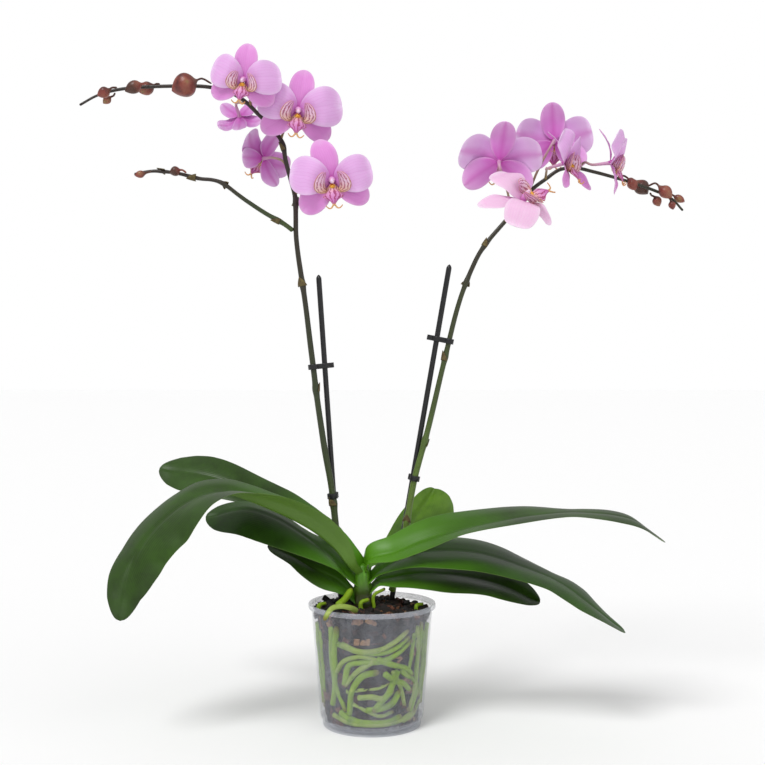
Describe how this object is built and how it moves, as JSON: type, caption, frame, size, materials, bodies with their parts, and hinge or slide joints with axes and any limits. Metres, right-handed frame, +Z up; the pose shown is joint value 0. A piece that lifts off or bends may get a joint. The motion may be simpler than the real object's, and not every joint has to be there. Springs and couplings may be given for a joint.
{
  "type": "potted orchid",
  "caption": "Moth orchid in a clear nursery pot: bark mix, fleshy roots, strap leaves and arching flower spikes clipped to stakes.",
  "frame": {"origin": "centre of the pot's underside, on the surface it stands on", "axes": "+Z up; the leaves and flower spikes spread along X, left spike towards -X; the front of the plant faces -Y"},
  "size_m": [0.5868, 0.191, 0.6389],
  "materials": {
    "clear_pot": "clear moulded polypropylene, slightly hazy, glossy",
    "bark": "damp composted bark chips, rough, very dark brown",
    "stem_green": "waxy bright green stem",
    "leaf": "waxy dark green leaf with a grooved midrib, semi-gloss",
    "leaf_young": "waxy yellow-green leaf, semi-gloss",
    "root": "fleshy green root under a thin silvery skin",
    "spike": "dark olive-brown flower stem with pale nodes",
    "stake": "black coated cane, satin",
    "clip": "black moulded clip, satin",
    "petal": "soft lilac petal tissue with magenta veins and a yellow lip",
    "bud": "closed rose-brown bud with an olive cast"
  },
  "bodies": {
    "root": {"bark_mix": "bark", "bud_branch_1": "bud", "bud_branch_2": "bud", "bud_left_1": "bud", "bud_left_2": "bud", "bud_left_3": "bud", "bud_left_4": "bud", "bud_left_5": "bud", "bud_right_1": "bud", "bud_right_2": "bud", "bud_right_3": "bud", "bud_right_4": "bud", "bud_right_5": "bud", "bud_right_6": "bud", "clip_left_lower": "clip", "clip_left_upper": "clip", "clip_right_lower": "clip", "clip_right_upper": "clip", "crown_stem": "stem_green", "flower_left_1": "petal", "flower_left_2": "petal", "flower_left_3": "petal", "flower_left_4": "petal", "flower_left_5": "petal", "flower_right_1": "petal", "flower_right_2": "petal", "flower_right_3": "petal", "flower_right_4": "petal", "flower_right_5": "petal", "leaf_back": "leaf_young", "leaf_left_back": "leaf", "leaf_left_front": "leaf", "leaf_left_low": "leaf", "leaf_left_middle": "leaf", "leaf_right_front": "leaf", "leaf_right_low": "leaf", "leaf_right_middle": "leaf", "pot": "clear_pot", "root_1": "root", "root_10": "root", "root_2": "root", "root_3": "root", "root_4": "root", "root_5": "root", "root_6": "root", "root_7": "root", "root_8": "root", "root_9": "root", "root_over_rim": "root", "root_under_leaf": "root", "spike_left": "spike", "spike_left_branch": "spike", "spike_right": "spike", "stake_left": "stake", "stake_right": "stake"}
  },
  "joints": []
}
